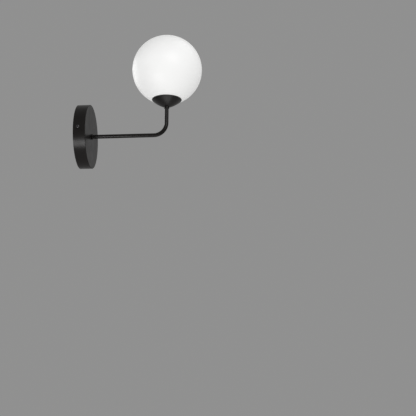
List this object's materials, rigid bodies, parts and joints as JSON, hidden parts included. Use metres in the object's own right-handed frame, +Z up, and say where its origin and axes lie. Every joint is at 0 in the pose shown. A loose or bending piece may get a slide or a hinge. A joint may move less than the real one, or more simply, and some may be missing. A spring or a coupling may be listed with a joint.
{
  "type": "globe wall sconce",
  "caption": "Wall lamp: a round wall plate carries a thin bent arm that turns up to a shallow cup, and an opal glass globe over a small two-pin bulb sits in the cup.",
  "frame": {"origin": "centre of the wall plate's back, on the wall's surface and on the arm's level axis", "axes": "+Z up, +Y into the wall (the lamp stands out towards -Y), +X to the right of someone who faces the wall"},
  "size_m": [0.14, 0.244, 0.2711],
  "materials": {
    "black_metal": "satin black powder coat on steel",
    "black_screw": "blackened screw, satin",
    "plated_steel": "zinc plated",
    "spring_steel": "bright spring steel",
    "opal_glass": "satin opal glass, white through its wall",
    "black_plastic": "matt",
    "ceramic_white": "unglazed steatite",
    "brass": "bare",
    "white_plastic": "glossy",
    "frosted_plastic": "frosted",
    "light_board": "white board with a yellow phosphor",
    "clear_plastic": "milky nylon",
    "wire_brown": "heat-proof insulation",
    "wire_blue": "heat-proof insulation",
    "wire_earth": "green and yellow insulation"
  },
  "bodies": {
    "lamp": {"canopy_cover": "black_metal", "wall_bracket": "plated_steel", "arm_tube": "black_metal", "arm_root_collar": "black_metal", "arm_top_collar": "black_metal", "canopy_lock_washer": "plated_steel", "canopy_hex_nut": "plated_steel", "cup_lock_washer": "plated_steel", "cup_hex_nut": "plated_steel", "bracket_nut": "plated_steel", "root_bush": "black_plastic", "top_bush": "black_plastic", "glass_cup": "black_metal", "globe_spring": "spring_steel", "holder_bracket": "plated_steel", "holder_screws": "plated_steel", "lampholder": "ceramic_white", "lampholder_contacts": "brass", "terminal_block": "clear_plastic", "terminal_inserts": "brass", "terminal_screws": "plated_steel", "terminal_block_screw": "plated_steel", "earth_screw": "brass", "earth_tag": "plated_steel", "wire_line": "wire_brown", "wire_neutral": "wire_blue", "wire_earth": "wire_earth"},
    "globe": {"opal_globe": "opal_glass"},
    "bulb": {"bulb_base": "white_plastic", "bulb_pins": "plated_steel", "bulb_diffuser": "frosted_plastic", "bulb_core": "light_board"},
    "screw_left": {"canopy_screw_left": "black_screw"},
    "screw_right": {"canopy_screw_right": "black_screw"}
  },
  "joints": [
    {"name": "globe_lift", "type": "slide", "parent": "lamp", "child": "globe", "axis": [0, 0, 1], "range_m": [0, 0.09]},
    {"name": "bulb_pull", "type": "slide", "parent": "lamp", "child": "bulb", "axis": [0, 0, 1], "range_m": [0, 0.025]},
    {"name": "left_screw_turn", "type": "hinge", "parent": "lamp", "child": "screw_left", "pos_m": [-0.0635, -0.0096, 0], "axis": [-1, 0, 0], "continuous": true},
    {"name": "right_screw_turn", "type": "hinge", "parent": "lamp", "child": "screw_right", "pos_m": [0.0635, -0.0096, 0], "axis": [1, 0, 0], "continuous": true}
  ]
}
